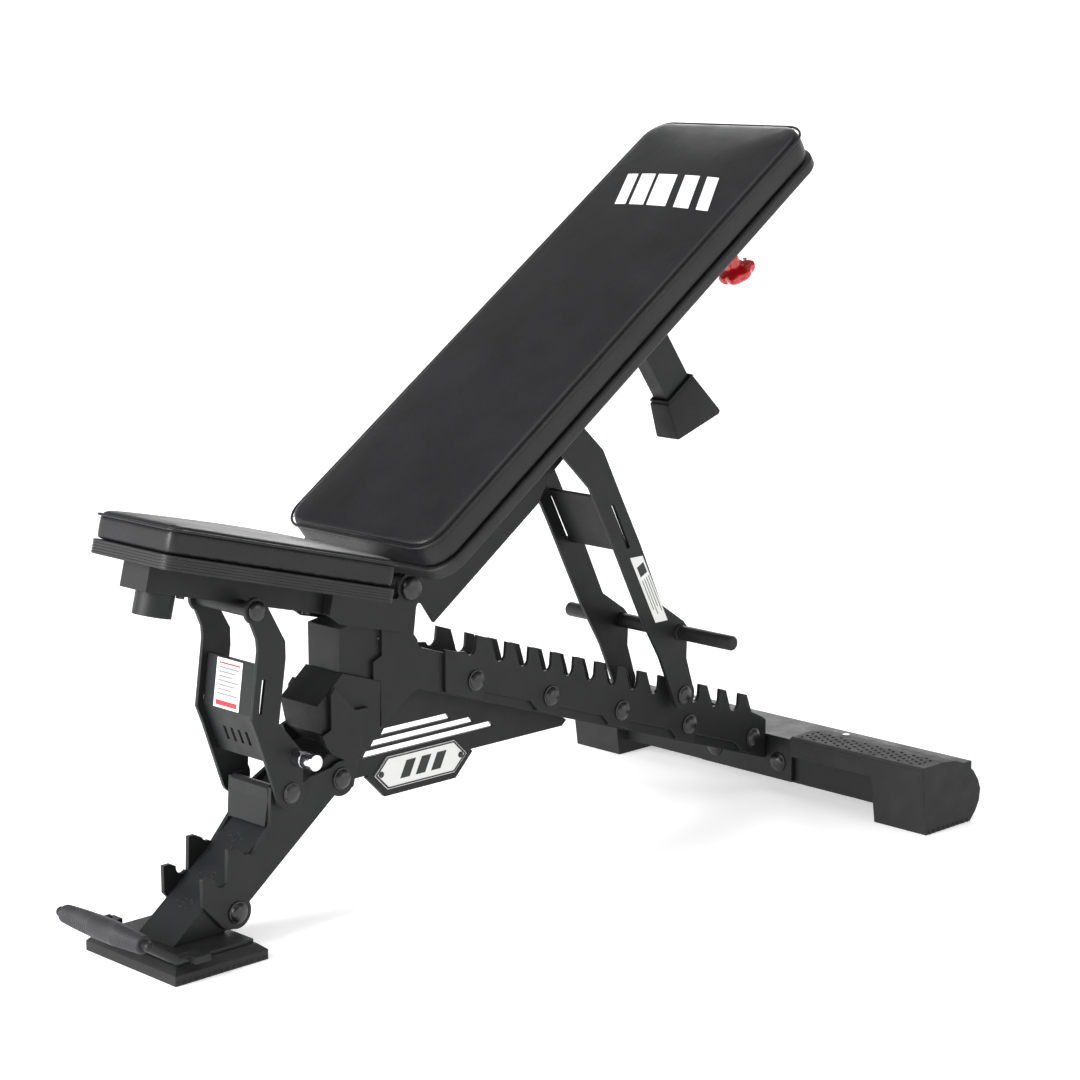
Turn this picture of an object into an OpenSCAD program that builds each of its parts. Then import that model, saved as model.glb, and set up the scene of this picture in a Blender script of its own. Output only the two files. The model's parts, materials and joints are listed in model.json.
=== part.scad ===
// Adjustable weight bench: a sloping notched beam, a hooked front leg, a hinged
// seat and a hinged back pad, each held up by its own swinging strut.
// X runs from the front foot to the rear crossbar, Z is up, Y = 0 is the middle.

/* [Main hinge] */
// Height of the main hinge axle above the floor
hinge_z = 396; // [394:1:398]
// Position of the main hinge axle along the bench
hinge_x = -165; // [-167:1:-163]
// Radius of the main hinge axle
axle_r = 8; // [7:0.5:9]

/* [Back] */
// Angle of the back pad above level
back_angle = 35; // [33:1:37]
// Length of the back pad
back_len = 836; // [800:2:840]
// Width of the back pad and of the seat's rear end
pad_w = 280; // [270:2:290]
// Radius of the back pad's corners
back_corner_r = 36; // [25:1:45]
// Thickness of the back cushion above its board
back_cushion_t = 41; // [35:1:45]
// Thickness of the covered board under the back cushion
back_board_t = 16; // [12:1:18]
// Distance along the back from the main hinge to the back strut's hinge
strut_hinge_s = 300; // [298:1:302]
// Reach of the bumper's tip below the back board
bumper_reach = 235; // [225:1:240]

/* [Seat] */
// Angle of the seat, front end up
seat_angle = 14.3; // [13:0.1:15]
// Length of the seat pad
seat_len = 294; // [280:1:300]
// Width of the seat pad at its front end
seat_front_w = 156; // [140:2:180]
// Distance from the main hinge to the rear end of the seat pad
seat_gap = 108; // [106:1:112]
// Thickness of the seat cushion
seat_cushion_t = 35; // [30:1:38]
// Thickness of the ribbed band under the seat cushion
seat_band_t = 17; // [14:1:18]

/* [Beam and ladder] */
// Downward slope of the beam towards the rear
beam_slope = 18.3; // [18.3:0.1:18.5]
// Width of the beam
beam_w = 70; // [68:1:70]
// Depth of the beam
beam_h = 50; // [48:1:51]
// Distance between neighbouring notches along the bench
notch_pitch = 40.8; // [40.5:0.1:41]
// Radius of the notch bottoms and hook bottoms
notch_r = 9; // [8.5:0.1:9.5]
// Thickness of the ladder plates, gussets and hinge plates
plate_t = 5; // [4:0.5:5]

/* [Leg and feet] */
// Slope of the front leg
leg_slope = 38; // [37.5:0.1:38.5]
// Depth of the front leg's tube
leg_h = 46; // [44:1:48]
// Thickness of the leg's side plates
leg_plate_t = 6; // [5:0.5:6]
// Overall width of the rear crossbar over its feet
rear_w = 664; // [660:2:670]
// Width of the front foot
front_foot_w = 176; // [170:2:180]

/* [Hidden] */

$fn = 48;
tube_wall = 3;
clear = 0.5;

// Faces that stack outwards from the middle at the main hinge
back_tube_w = 50;
back_plate_y = back_tube_w / 2;
back_plate_t = 4.5;
gusset_y = 30;
seat_plate_y = gusset_y + plate_t + clear;
ladder_y = beam_w / 2;
leg_plate_y = 35;
seat_strut_y = 50;
back_strut_y = 53;
strut_t = 5;

// Beam: its bottom line crosses X = 0 at beam_z0
beam_z0 = 216;
beam_fall = tan(beam_slope);
beam_rise = beam_h / cos(beam_slope);
beam_front_x = -113;
post_front_x = -271;
post_rear_x = -211;
rear_face_x = 507;

// Notches: the first stands apart, the others are evenly spaced
notch_depth_z = 57.6;
tooth_top_z = 301.3;
tooth_fall = 0.329;
first_notch_x = -65;
second_notch_x = -14;
even_notches = 12;
used_notch = 8;
pin_r = 8;

// Bolts along the beam
beam_bolt_u = -68;
beam_bolt_pitch = 140;
beam_bolts = 5;
bolt_r = 5;
cap_r = 12;
cap_h = 8;

// Front leg: the upper face of its tube starts at this point
leg_x0 = -493;
leg_z0 = 57;
leg_bolt_low = [-443, 47];
leg_bolt_high = [-281, 178];
hook_low = [-466, 92];
hook_mid = [-427, 124];
hook_top = [-370, 181];

// Struts
seat_hinge_s = 246;
seat_hinge_q = -50;
strut_axle_r = 6;
spacer_r = 9;
rod_r = 10;

// Back assembly heights above the line through the main hinge
board_p = 36;
back_tube_low_p = -24;
back_tube_end_s = 752;
hinge_plate_low_p = -70;
bumper_s = 530;
knob_s = 722;
knob_p = -84;
knob_r = 28;

// Seat assembly heights above the line through the main hinge
seat_band_q = -15.5;
seat_tube_q = -46;
seat_tube_h = 30;
seat_tube_end_s = 383;
seat_tube_start_s = 122;
seat_wall_s = 117;
socket_s = 352;

function notch_bottom(x) = 273.6 - 0.3276 * x;
function tooth_top(x) = tooth_top_z - tooth_fall * x;
function beam_bottom(x) = beam_z0 - beam_fall * x;
function along_back(s, p) = [
  hinge_x + s * cos(back_angle) - p * sin(back_angle),
  hinge_z + s * sin(back_angle) + p * cos(back_angle)
];
function along_seat(s, q) = [
  hinge_x - s * cos(seat_angle) + q * sin(seat_angle),
  hinge_z + s * sin(seat_angle) + q * cos(seat_angle)
];
function on_beam(u, v) = [
  u * cos(beam_slope) + v * sin(beam_slope),
  beam_z0 - u * sin(beam_slope) + v * cos(beam_slope)
];

notch_x = second_notch_x + used_notch * notch_pitch;
back_pin = [notch_x, notch_bottom(notch_x) + pin_r];
back_strut_top = along_back(strut_hinge_s, 0);
seat_strut_top = along_seat(seat_hinge_s, seat_hinge_q);
seat_pin = hook_top;
back_bar = [303, 268];
seat_rod = [-361, 223];

// ---- Shared shapes ----

// Side profile drawn as (x, z), given the thickness from y_low to y_low + t
module slab(y_low, t) {
  translate([0, y_low + t, 0]) rotate([90, 0, 0]) linear_extrude(t) children();
}

module both_sides(y_in, t) {
  slab(y_in, t) children();
  slab(-y_in - t, t) children();
}

module y_rod(at, r, y_low, y_high) {
  translate([at[0], y_low, at[1]]) rotate([-90, 0, 0])
    cylinder(r = r, h = y_high - y_low);
}

module back_pose() {
  translate([hinge_x, 0, hinge_z]) rotate([0, -back_angle, 0]) children();
}

module seat_pose() {
  translate([hinge_x, 0, hinge_z]) rotate([0, seat_angle, 0]) children();
}

// Box given by its lowest and highest corners
module span(low, high) {
  translate(low) cube(high - low);
}

module dome(r, h) {
  rotate_extrude() polygon(concat(
    [[0, 0], [r, 0]],
    [for (a = [0:10:90]) [r * cos(a), h * 0.25 + h * 0.75 * sin(a)]]
  ));
}

module domes_at(at, y_out, r, h) {
  translate([at[0], y_out, at[1]]) rotate([-90, 0, 0]) dome(r, h);
  translate([at[0], -y_out, at[1]]) rotate([90, 0, 0]) dome(r, h);
}

module through_bolt(at, y_out) {
  union() {
    y_rod(at, bolt_r, -y_out, y_out);
    domes_at(at, y_out, cap_r, cap_h);
  }
}

// Rounded trapezium, from x = 0 (width w0) to x = len (width w1)
module pad_outline(len, w0, w1, r) {
  hull() {
    for (side = [-1, 1]) {
      translate([r, side * (w0 / 2 - r)]) circle(r = r, $fn = 32);
      translate([len - r, side * (w1 / 2 - r)]) circle(r = r, $fn = 32);
    }
  }
}

// ---- Front foot and handle ----

module front_foot_pad() {
  half = front_foot_w / 2;
  color("dimgray") intersection() {
    slab(-half, front_foot_w)
      polygon([[-570, 0], [-436, 0], [-436, 12], [-446, 20], [-562, 20], [-570, 12]]);
    rotate([90, 0, 90]) translate([0, 0, -570]) linear_extrude(134)
      polygon([[-half, 0], [half, 0], [half, 12], [half - 8, 20], [8 - half, 20], [-half, 12]]);
  }
}

module front_foot_plate() {
  color("#333333") span([-560, -76, 20], [-448, 76, 25]);
}

handle_x = -604;
handle_z = 56;
handle_half = 86;
handle_rod_r = 6;

module handle_loop() {
  rise = handle_z - 31;
  run = -566 - handle_x;
  color("#333333") union() {
    y_rod([handle_x, handle_z], handle_rod_r, -handle_half, handle_half);
    for (side = [-1, 1]) {
      translate([handle_x, side * handle_half, handle_z]) sphere(r = handle_rod_r + 0.3);
      translate([-566, side * handle_half, 31]) sphere(r = handle_rod_r + 0.3);
      translate([handle_x, side * handle_half, handle_z])
        rotate([0, 90 + atan2(rise, run), 0])
        cylinder(r = handle_rod_r, h = norm([rise, run]));
      translate([-566, side * handle_half, 31]) rotate([0, 90, 0])
        cylinder(r = handle_rod_r - 0.2, h = 30);
      span([-550, side * handle_half - 14, 25], [-528, side * handle_half + 4, 33]);
    }
  }
}

grip_half = 78;
grip_ribs = 13;

module handle_grip() {
  pitch = 2 * grip_half / grip_ribs;
  swell = 3;
  color("#222222") translate([handle_x, 0, handle_z]) rotate([-90, 0, 0])
    difference() {
      rotate_extrude() polygon(concat(
        [[0, -grip_half]],
        [for (i = [0:grip_ribs * 4]) let (
            y = -grip_half + i * pitch / 4,
            crown = swell * (1 - pow(y / grip_half, 2)),
            rib = (i % 4 == 0) ? 0 : 1.2
          ) [9.5 + crown + rib, y]],
        [[0, grip_half]]
      ));
      cylinder(r = handle_rod_r, h = 3 * grip_half, center = true);
    }
}

// ---- Front leg ----

// Heights of the leg tube's upper and lower faces at x, moved inwards by inset
function leg_top(x, inset) = leg_z0 + (x - leg_x0) * tan(leg_slope) - inset / cos(leg_slope);
function leg_low(x, inset) = leg_top(x, leg_h - inset);
function leg_top_x(z, inset) = leg_x0 + (z - leg_z0 + inset / cos(leg_slope)) / tan(leg_slope);
function leg_low_x(z, inset) = leg_top_x(z, leg_h - inset);

module leg_tube() {
  half = leg_plate_y;
  color("#333333") difference() {
    slab(-half, 2 * half) polygon([
      [leg_top_x(25, 0), 25], [leg_low_x(25, 0), 25], [-262, leg_low(-262, 0)],
      [-213, 227], [post_rear_x, 286], [post_front_x, 306], [-312, 272], [-304, 236],
      [-286, leg_top(-286, 0)]
    ]);
    slab(tube_wall - half, 2 * (half - tube_wall)) polygon([
      [leg_top_x(28, 3), 28], [leg_low_x(28, 3), 28], [-268, leg_low(-268, 3)],
      [-290, leg_top(-290, 3)]
    ]);
    for (at = [leg_bolt_low, leg_bolt_high]) y_rod(at, bolt_r, -half - 1, half + 1);
  }
}

// Slot that opens upwards from a rounded bottom
module open_slot(at, wide, top_z) {
  translate(at) circle(r = notch_r);
  polygon([
    [at[0] - notch_r, at[1]], [at[0] + notch_r, at[1]],
    [at[0] + wide, top_z], [at[0] - wide, top_z]
  ]);
}

module leg_plate_shape() {
  difference() {
    union() {
      polygon([
        [-493, 64], [-493, 98], [-482, 98], [-457, 84], [-455, 126], [-445, 126],
        [-419, 112], [-392, 142], [-389, 188], [-381, 188], [-375, 172], [-364, 172],
        [-330, 190], [-272, 198], [-294, 210], [-303, 221], [-309, 236],
        [-295, 241], [-295, 284], [-288, 292], [-257, 259], [-236, 259],
        [-262, 164], [-292, 159], [-431, 52], [-450, 28], [-462, 30]
      ]);
      translate(leg_bolt_low) circle(r = 20);
      translate(leg_bolt_high) circle(r = 22);
    }
    open_slot(hook_low, 11, 140);
    open_slot(hook_mid, 13, 160);
    translate(hook_top) circle(r = notch_r);
    polygon([[-379, 181], [-381, 200], [-340, 240], [-330, 190], [-363, 172.8], [-361, 181]]);
    for (at = [leg_bolt_low, leg_bolt_high]) translate(at) circle(r = bolt_r);
  }
}

module leg_plates() {
  color("#3a3a3a") both_sides(leg_plate_y, leg_plate_t) leg_plate_shape();
}

module leg_shield() {
  color("#3a3a3a") slab(-leg_plate_y, 2 * leg_plate_y)
    polygon([
      [-396, 140], [-390, 172], [-390, 186], [-386, 190], [-382, 190],
      [-382, 186], [-386, 184], [-386, 171], [-391, 144]
    ]);
}

module leg_bolts() {
  color("#111111")
    for (at = [leg_bolt_low, leg_bolt_high]) through_bolt(at, leg_plate_y + leg_plate_t);
}

// ---- Post and main hinge ----

module post_tube() {
  color("#333333") difference() {
    slab(-gusset_y, 2 * gusset_y)
      polygon([[post_front_x, 306.3], [post_front_x, 360], [post_rear_x, 370],
        [post_rear_x, 286.3]]);
    slab(tube_wall - gusset_y, 2 * (gusset_y - tube_wall))
      polygon([[post_front_x + 3, 290], [post_front_x + 3, 355], [post_rear_x - 3, 365],
        [post_rear_x - 3, 270]]);
  }
}

module gusset_shape() {
  difference() {
    union() {
      translate([hinge_x, hinge_z]) circle(r = 21);
      polygon([
        [-208, 377], [-208, 318], [-222, 312], [-222, 290.2], [-210.6, 286.3], [-210.6, 228.1],
        [-158, 263], [-150, beam_bottom(-150)], [beam_front_x, beam_bottom(beam_front_x)],
        [beam_front_x, 306], [-141, 316], [-156, 336], [-150, 381], [-172, 416]
      ]);
    }
    translate([hinge_x, hinge_z]) circle(r = 12);
    translate([-137, 328]) circle(r = 13);
  }
}

module gusset_plates() {
  color("#3a3a3a") both_sides(gusset_y, plate_t) gusset_shape();
}

module hinge_bushes() {
  color("#e8e4d8") for (y = [gusset_y, -gusset_y - plate_t])
    difference() {
      y_rod([hinge_x, hinge_z], 12, y, y + plate_t);
      y_rod([hinge_x, hinge_z], axle_r, y - 1, y + plate_t + 1);
    }
}

module hinge_axle() {
  y_out = seat_plate_y + plate_t + clear;
  color("#111111") union() {
    y_rod([hinge_x, hinge_z], axle_r, -y_out, y_out);
    domes_at([hinge_x, hinge_z], y_out, 15, 9);
  }
}

// ---- Beam, ladder and web ----

module beam_bolt_holes(y_out) {
  for (i = [0:beam_bolts - 1])
    y_rod(on_beam(beam_bolt_u + i * beam_bolt_pitch, beam_h / 2), bolt_r, -y_out, y_out);
}

module beam_section(x_low, x_high, inset) {
  polygon([
    [x_low, beam_bottom(x_low) + inset], [x_high, beam_bottom(x_high) + inset],
    [x_high, beam_bottom(x_high) + beam_rise - inset],
    [x_low, beam_bottom(x_low) + beam_rise - inset]
  ]);
}

module beam_tube() {
  color("#333333") difference() {
    union() {
      slab(-ladder_y, 2 * ladder_y) beam_section(beam_front_x, rear_face_x, 0);
      slab(-gusset_y, 2 * gusset_y) beam_section(post_rear_x, beam_front_x, 0);
    }
    slab(tube_wall - gusset_y, 2 * (gusset_y - tube_wall))
      beam_section(post_rear_x + 1, rear_face_x - 3, 3);
    beam_bolt_holes(ladder_y + 1);
  }
}

// Raised bays in the lower edge, one between each pair of bolts
module ladder_bays() {
  for (i = [0:beam_bolts - 2]) {
    u = beam_bolt_u + i * beam_bolt_pitch;
    polygon([
      on_beam(u + 18, -6), on_beam(u + 18, 13), on_beam(u + 104, 13), on_beam(u + 120, 5),
      on_beam(u + 120, -6)
    ]);
  }
}

// Notch between two teeth: a round seat, one wall that leans back and one that is nearly upright
module ladder_notch(at, top_z) {
  translate(at) circle(r = notch_r);
  polygon([
    at + [-notch_r, 0], at + [notch_r, 0], [at[0] + 10.5, top_z], [at[0] + 11, top_z + 20],
    [at[0] - 19, top_z + 20], [at[0] - 16, top_z]
  ]);
}

module ladder_shape() {
  difference() {
    polygon([
      [-108, beam_bottom(-108) + 2.5], [-108, 309], [-88, 303], [-52, tooth_top(-52)],
      [462, tooth_top(462)], [472, 123], [496, 111], [503, 106],
      [503, beam_bottom(503) + 2.5]
    ]);
    open_slot([first_notch_x, notch_bottom(first_notch_x) + notch_r], 14, 340);
    polygon([[-108, 309], [-88, 303], [-76, 301], [-76, 340], [-108, 340]]);
    for (i = [0:even_notches - 1]) {
      x = second_notch_x + i * notch_pitch;
      ladder_notch([x, notch_bottom(x) + notch_r], tooth_top(x) - 1);
    }
    ladder_bays();
    for (i = [0:beam_bolts - 1])
      translate(on_beam(beam_bolt_u + i * beam_bolt_pitch, beam_h / 2)) circle(r = bolt_r);
  }
}

// Everything above the line that runs just over the notches' lowest points
module above_notches() {
  polygon([
    [-76, notch_bottom(-76) + 1.2], [464, notch_bottom(464) + 1.2], [472, 123],
    [480, 123], [480, 400], [-76, 400]
  ]);
}

module ladder_plates() {
  color("#3a3a3a") both_sides(ladder_y, plate_t) difference() {
    ladder_shape();
    above_notches();
  }
}

module ladder_teeth_shape() {
  intersection() {
    ladder_shape();
    above_notches();
  }
}

module ladder_teeth_left() {
  color("#3a3a3a") slab(ladder_y, plate_t) ladder_teeth_shape();
}

module ladder_teeth_right() {
  color("#3a3a3a") slab(-ladder_y - plate_t, plate_t) ladder_teeth_shape();
}

module ladder_bolts() {
  color("#111111")
    for (i = [0:beam_bolts - 1])
      through_bolt(on_beam(beam_bolt_u + i * beam_bolt_pitch, beam_h / 2), ladder_y + plate_t);
}

web_half_t = 2.5;
name_plate_at = [-119, 156];

// Long hexagon, w wide and h high, pointed at both ends
module long_hexagon(w, h) {
  polygon([
    [-w / 2, 0], [-w / 2 + h / 2, h / 2], [w / 2 - h / 2, h / 2],
    [w / 2, 0], [w / 2 - h / 2, -h / 2], [-w / 2 + h / 2, -h / 2]
  ]);
}

module web_plate() {
  color("#3a3a3a") slab(-web_half_t, 2 * web_half_t) difference() {
    union() {
      polygon([
        [-238, 196], [-213, 226.5], [-211, beam_bottom(-211) - 0.3],
        [132, beam_bottom(132) - 0.3], [141, 166], [133, 159], [-238, 159]
      ]);
      translate(name_plate_at) long_hexagon(180, 60);
    }
    for (row = [[-185, -73, 210], [-202, -33, 198], [-215, 2, 186]])
      polygon([
        [row[0], row[2] - 4], [row[1] + 6, row[2] - 4], [row[1], row[2] + 4],
        [row[0] + 6, row[2] + 4]
      ]);
    for (side = [-1, 1])
      translate(name_plate_at + [side * 67, 0]) circle(r = 2);
  }
}

module name_plate() {
  color("white") slab(-web_half_t - 2, 2) difference() {
    translate(name_plate_at) long_hexagon(155, 42);
    for (side = [-1, 1])
      translate(name_plate_at + [side * 67, 0]) circle(r = 2);
  }
}

module name_plate_rivets() {
  color("#222222") for (side = [-1, 1])
    translate([name_plate_at[0] + side * 67, 0, name_plate_at[1]]) union() {
      translate([0, -web_half_t - 2, 0]) rotate([90, 0, 0]) dome(4, 2);
      rotate([90, 0, 0]) cylinder(r = 2, h = 2 * web_half_t + 4, center = true);
    }
}

// ---- Rear crossbar and feet ----

cross_low = [514, 20];
cross_high = [604, 82];
bracket_half = 85;
foot_in_y = 100;
foot_block_y = 243;

module rear_bracket() {
  color("#3a3a3a") difference() {
    span([rear_face_x, -bracket_half, 22], [cross_low[0], bracket_half, 84]);
    for (side = [-1, 1]) translate([500, side * 60, 47]) rotate([0, 90, 0])
      cylinder(r = bolt_r, h = 30);
  }
}

module rear_bracket_bolts() {
  color("#111111") for (side = [-1, 1])
    translate([rear_face_x, side * 60, 47]) union() {
      rotate([0, -90, 0]) dome(cap_r, cap_h);
      rotate([0, 90, 0]) cylinder(r = bolt_r, h = 24);
    }
}

module rear_crossbar() {
  half = rear_w / 2 - 7;
  color("#333333") difference() {
    span([cross_low[0], -half, cross_low[1]], [cross_high[0], half, cross_high[1]]);
    span([cross_low[0] + 3, 3 - half, cross_low[1] + 3],
      [cross_high[0] - 3, half - 3, cross_high[1] - 3]);
    for (side = [-1, 1]) translate([500, side * 60, 47]) rotate([0, 90, 0])
      cylinder(r = bolt_r, h = 25);
    for (side = [-1, 1]) translate([557, side * 142, 70])
      cylinder(r = 2.5, h = 20);
  }
}

module foot_profile() {
  polygon([
    [484, 92], [490, 95], [535, 95], [562, 91], [584, 83], [600, 70], [611, 55],
    [616, 42], [614, 26], [606, 12], [594, 0], [497, 0]
  ]);
}

// Foot on the side where Y is positive
module rear_foot() {
  half = rear_w / 2;
  difference() {
    union() {
      slab(foot_block_y, half - foot_block_y) foot_profile();
      slab(foot_in_y, foot_block_y - foot_in_y) intersection() {
        foot_profile();
        translate([480, 66]) square([140, 40]);
      }
    }
    span([cross_low[0], 0, cross_low[1]],
      [cross_high[0], half - 7, cross_high[1]]);
    translate([557, 142, 80]) cylinder(r = 2.5, h = 20);
    translate([557, 142, 91]) cylinder(r = 6, h = 20);
  }
}

module rear_foot_left() {
  color("#2a2a2a") rear_foot();
}

module rear_foot_right() {
  color("#2a2a2a") mirror([0, 1, 0]) rear_foot();
}

module rear_foot_screws() {
  color("#888888") for (side = [-1, 1]) translate([557, side * 142, 0]) union() {
    translate([0, 0, 72]) cylinder(r = 2.5, h = 19);
    translate([0, 0, 91]) cylinder(r = 5, h = 2.5);
  }
}

// ---- Seat ----

seat_top_q = seat_band_q + seat_band_t + seat_cushion_t;
seat_screw_rows = [140, 330];

module seat_outline() {
  translate([-seat_gap - seat_len, 0])
    pad_outline(seat_len, seat_front_w, pad_w, 16);
}

module seat_band() {
  color("#2a2a2a") seat_pose() difference() {
    translate([0, 0, seat_band_q]) linear_extrude(seat_band_t) seat_outline();
    for (s = seat_screw_rows) for (side = [-1, 1])
      translate([-s, side * 18, seat_band_q - 1]) cylinder(r = 2.5, h = 12);
  }
}

module seat_cushion() {
  color("#1c1c1c") seat_pose() translate([0, 0, seat_band_q + seat_band_t])
    linear_extrude(seat_cushion_t) seat_outline();
}

module seat_tube() {
  color("#333333") difference() {
    seat_pose() difference() {
      span([-seat_tube_end_s, -25, seat_tube_q], [-seat_tube_start_s, 25, seat_band_q]);
      span([-seat_tube_end_s - 1, -22, seat_tube_q + 3],
        [3 - seat_tube_start_s, 22, seat_band_q - 3]);
      for (s = seat_screw_rows) for (side = [-1, 1])
        translate([-s, side * 18, seat_tube_q - 1]) cylinder(r = 2.5, h = 40);
    }
    y_rod(seat_strut_top, spacer_r, -60, 60);
  }
}

module seat_tube_cap() {
  color("#1a1a1a") seat_pose() union() {
    span([-seat_tube_end_s - 2, -25, seat_tube_q], [-seat_tube_end_s, 25, seat_band_q]);
    span([-seat_tube_end_s, -22, seat_tube_q + 3], [18 - seat_tube_end_s, 22, seat_band_q - 3]);
  }
}

module accessory_socket() {
  color("#333333") seat_pose() translate([-socket_s, 0, seat_tube_q - 28]) difference() {
    cylinder(r = 23, h = 28);
    translate([0, 0, -1]) cylinder(r = 12.7, h = 25);
  }
}

module seat_hinge_plates() {
  y_in = seat_plate_y;
  color("#3a3a3a") difference() {
    union() {
      seat_pose() both_sides(y_in, plate_t) union() {
        circle(r = 20);
        polygon([
          [-122, seat_band_q], [-122, seat_tube_q], [-100, -55], [4, -55], [19, -8],
          [8, 18], [-20, seat_band_q]
        ]);
      }
      seat_pose() span([-seat_tube_start_s, -y_in, seat_tube_q],
        [-seat_wall_s, y_in, seat_band_q]);
    }
    y_rod([hinge_x, hinge_z], axle_r + 0.05, -60, 60);
  }
}

module seat_pivot_tube() {
  color("#333333") difference() {
    y_rod(seat_strut_top, spacer_r, 0.3 - seat_strut_y, seat_strut_y - 0.3);
    y_rod(seat_strut_top, strut_axle_r + 0.05, -60, 60);
  }
}

module seat_screws() {
  color("#222222") seat_pose() for (s = seat_screw_rows) for (side = [-1, 1])
    translate([-s, side * 18, 0]) union() {
      translate([0, 0, seat_tube_q - 3]) cylinder(r = 5, h = 3);
      translate([0, 0, seat_tube_q]) cylinder(r = 2.5, h = 40);
    }
}

// ---- Seat strut ----

module seat_strut_shape() {
  difference() {
    union() {
      translate(seat_strut_top) circle(r = 16);
      translate(seat_pin) circle(r = 21);
      polygon([
        seat_strut_top + [-15, 4], [-415, 374], [-414, 360], [-426, 278], [-417, 255],
        seat_pin + [-20, -6], seat_pin + [18, 11], [-350, 226], [-386, 269], [-374, 345],
        [-374, 366], seat_strut_top + [14, 8]
      ]);
    }
    translate(seat_strut_top) circle(r = strut_axle_r);
    translate(seat_pin) circle(r = bolt_r);
    translate(seat_rod) circle(r = rod_r);
    // Narrow slot that the web's tab fits
    polygon([[-409.5, 325.5], [-404, 325.5], [-411, 284.5], [-416.5, 284.5]]);
  }
}

module seat_strut_left() {
  color("#3a3a3a") slab(seat_strut_y, strut_t) seat_strut_shape();
}

module seat_strut_right() {
  color("#3a3a3a") slab(-seat_strut_y - strut_t, strut_t) seat_strut_shape();
}

module seat_strut_web() {
  color("#3a3a3a") difference() {
    slab(-seat_strut_y, 2 * seat_strut_y)
      polygon([
        [-408, 341], [-403.5, 341], [-412, 281], [-390, 222], [-394.5, 220.5], [-417, 280]
      ]);
    for (i = [0:3]) translate([-425, -22 + i * 14, 238]) cube([45, 5, 18]);
  }
}

// Two grips, one on the outer face of each strut plate
module seat_strut_rod() {
  half = 92;
  color("silver") {
    y_rod(seat_rod, rod_r, -half, -seat_strut_y);
    y_rod(seat_rod, rod_r, seat_strut_y, half);
  }
}

module seat_strut_pins() {
  color("#111111") for (side = [-1, 1])
    translate([seat_pin[0], side * 41.5, seat_pin[1]])
      rotate([-90 * side, 0, 0]) union() {
        cylinder(r = pin_r, h = seat_strut_y - 41.5);
        cylinder(r = bolt_r, h = seat_strut_y + strut_t - 41.5);
        translate([0, 0, seat_strut_y + strut_t - 41.5]) dome(11, 6);
      }
}

module seat_strut_axle() {
  y_out = seat_strut_y + strut_t;
  color("#111111") union() {
    y_rod(seat_strut_top, strut_axle_r, -y_out, y_out);
    domes_at(seat_strut_top, y_out, 12, 6);
  }
}

module seat_strut_label() {
  color("white") translate([-412.5, 0, 310.5]) rotate([0, atan(9 / 61), 0])
    translate([-0.6, -18, -30]) cube([0.6, 48, 59]);
}

// ---- Back ----

back_pad_start = -10;

module back_outline() {
  translate([back_pad_start, 0]) pad_outline(back_len, pad_w, pad_w, back_corner_r);
}

back_screw_rows = [60, 420, 690];

module back_board() {
  color("#2a2a2a") back_pose() difference() {
    translate([0, 0, board_p]) linear_extrude(back_board_t) back_outline();
    for (s = back_screw_rows) for (side = [-1, 1])
      translate([s, side * 16, board_p - 1]) cylinder(r = 2.5, h = 11);
  }
}

module back_cushion() {
  color("#1c1c1c") back_pose() translate([0, 0, board_p + back_board_t])
    linear_extrude(back_cushion_t) back_outline();
}

module back_tube() {
  half = back_tube_w / 2;
  color("#333333") difference() {
    back_pose() difference() {
      span([24, -half, back_tube_low_p], [back_tube_end_s, half, board_p]);
      span([27, tube_wall - half, back_tube_low_p + 3],
        [back_tube_end_s - 3, half - tube_wall, board_p - 3]);
      for (s = back_screw_rows) for (side = [-1, 1])
        translate([s, side * 16, back_tube_low_p - 1]) cylinder(r = 2.5, h = 80);
      translate([knob_s, 0, back_tube_low_p - 1]) cylinder(r = 9, h = 5);
    }
    y_rod(back_strut_top, spacer_r, -60, 60);
  }
}

module back_hinge_plates() {
  color("#3a3a3a") difference() {
    back_pose() both_sides(back_plate_y, back_plate_t) union() {
      circle(r = 19);
      polygon([
        [0, 19], [4, 33], [316, 33], [316, -34], [297, -53], [268, -54],
        [231, hinge_plate_low_p], [9, hinge_plate_low_p], [9, -38], [-6, -18]
      ]);
    }
    y_rod(back_strut_top, spacer_r, -60, 60);
    y_rod([hinge_x, hinge_z], axle_r + 0.05, -60, 60);
  }
}

module back_pivot_tube() {
  color("#333333") difference() {
    y_rod(back_strut_top, spacer_r, 0.3 - back_strut_y, back_strut_y - 0.3);
    y_rod(back_strut_top, strut_axle_r + 0.05, -70, 70);
  }
}

module back_screws() {
  color("#222222") back_pose() for (s = back_screw_rows) for (side = [-1, 1])
    translate([s, side * 16, 0]) union() {
      translate([0, 0, back_tube_low_p - 3]) cylinder(r = 5, h = 3);
      translate([0, 0, back_tube_low_p]) cylinder(r = 2.5, h = board_p + 9 - back_tube_low_p);
    }
}

bumper_half_s = 25;
bumper_half_y = 12.5;
cap_top_p = -134;

module bumper_post() {
  low = cap_top_p - 40;
  color("#333333") back_pose() difference() {
    span([bumper_s - bumper_half_s, -bumper_half_y, low],
      [bumper_s + bumper_half_s, bumper_half_y, back_tube_low_p]);
    span([bumper_s - bumper_half_s + 2.5, 2.5 - bumper_half_y, low - 1],
      [bumper_s + bumper_half_s - 2.5, bumper_half_y - 2.5, back_tube_low_p - 4]);
  }
}

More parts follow.
